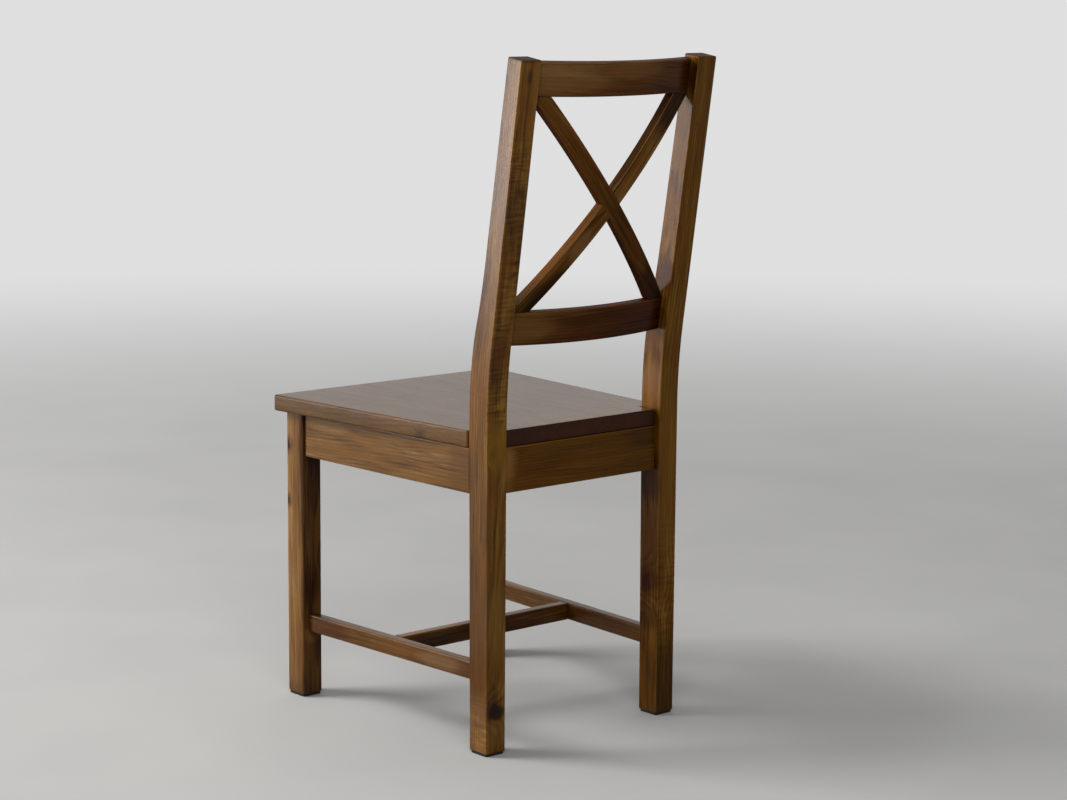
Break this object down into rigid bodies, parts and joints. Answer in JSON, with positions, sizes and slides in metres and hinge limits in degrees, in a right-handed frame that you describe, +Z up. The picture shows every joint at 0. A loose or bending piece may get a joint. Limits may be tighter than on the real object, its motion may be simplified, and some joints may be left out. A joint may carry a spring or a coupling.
{
  "type": "dining chair",
  "caption": "Wooden dining chair with a flat tapered seat, raked rear posts, an H stretcher frame and a bowed cross back between bowed rails.",
  "frame": {"origin": "on the floor, under the middle of the chair's box", "axes": "+Z up, the chair faces -Y with its back at +Y, +X is the sitter's left"},
  "size_m": [0.4292, 0.5292, 0.976],
  "materials": {
    "frame_wood": "dark walnut stain under satin varnish, straight grain with knots",
    "seat_wood": "dark walnut stain under satin varnish, glued boards with small knots",
    "block_wood": "bare sawn softwood",
    "screw_steel": "zinc plated",
    "pad_felt": "pressed dark felt"
  },
  "bodies": {
    "root": {"left_rear_post": "frame_wood", "right_rear_post": "frame_wood", "left_front_leg": "frame_wood", "right_front_leg": "frame_wood", "left_side_apron": "frame_wood", "right_side_apron": "frame_wood", "front_apron": "frame_wood", "rear_apron": "frame_wood", "left_stretcher": "frame_wood", "right_stretcher": "frame_wood", "cross_stretcher": "frame_wood", "left_brace": "frame_wood", "right_brace": "frame_wood", "crest_rail": "frame_wood", "lower_back_rail": "frame_wood", "seat_board_left_outer": "seat_wood", "seat_board_left_inner": "seat_wood", "seat_board_centre": "seat_wood", "seat_board_right_inner": "seat_wood", "seat_board_right_outer": "seat_wood", "left_front_corner_block": "block_wood", "right_front_corner_block": "block_wood", "left_rear_corner_block": "block_wood", "right_rear_corner_block": "block_wood", "left_front_side_screw": "screw_steel", "right_front_side_screw": "screw_steel", "left_front_apron_screw": "screw_steel", "right_front_apron_screw": "screw_steel", "left_front_seat_screw": "screw_steel", "right_front_seat_screw": "screw_steel", "left_rear_side_screw": "screw_steel", "right_rear_side_screw": "screw_steel", "left_rear_apron_screw": "screw_steel", "right_rear_apron_screw": "screw_steel", "left_rear_seat_screw": "screw_steel", "right_rear_seat_screw": "screw_steel", "left_front_foot_pad": "pad_felt", "right_front_foot_pad": "pad_felt", "left_rear_foot_pad": "pad_felt", "right_rear_foot_pad": "pad_felt"}
  },
  "joints": []
}
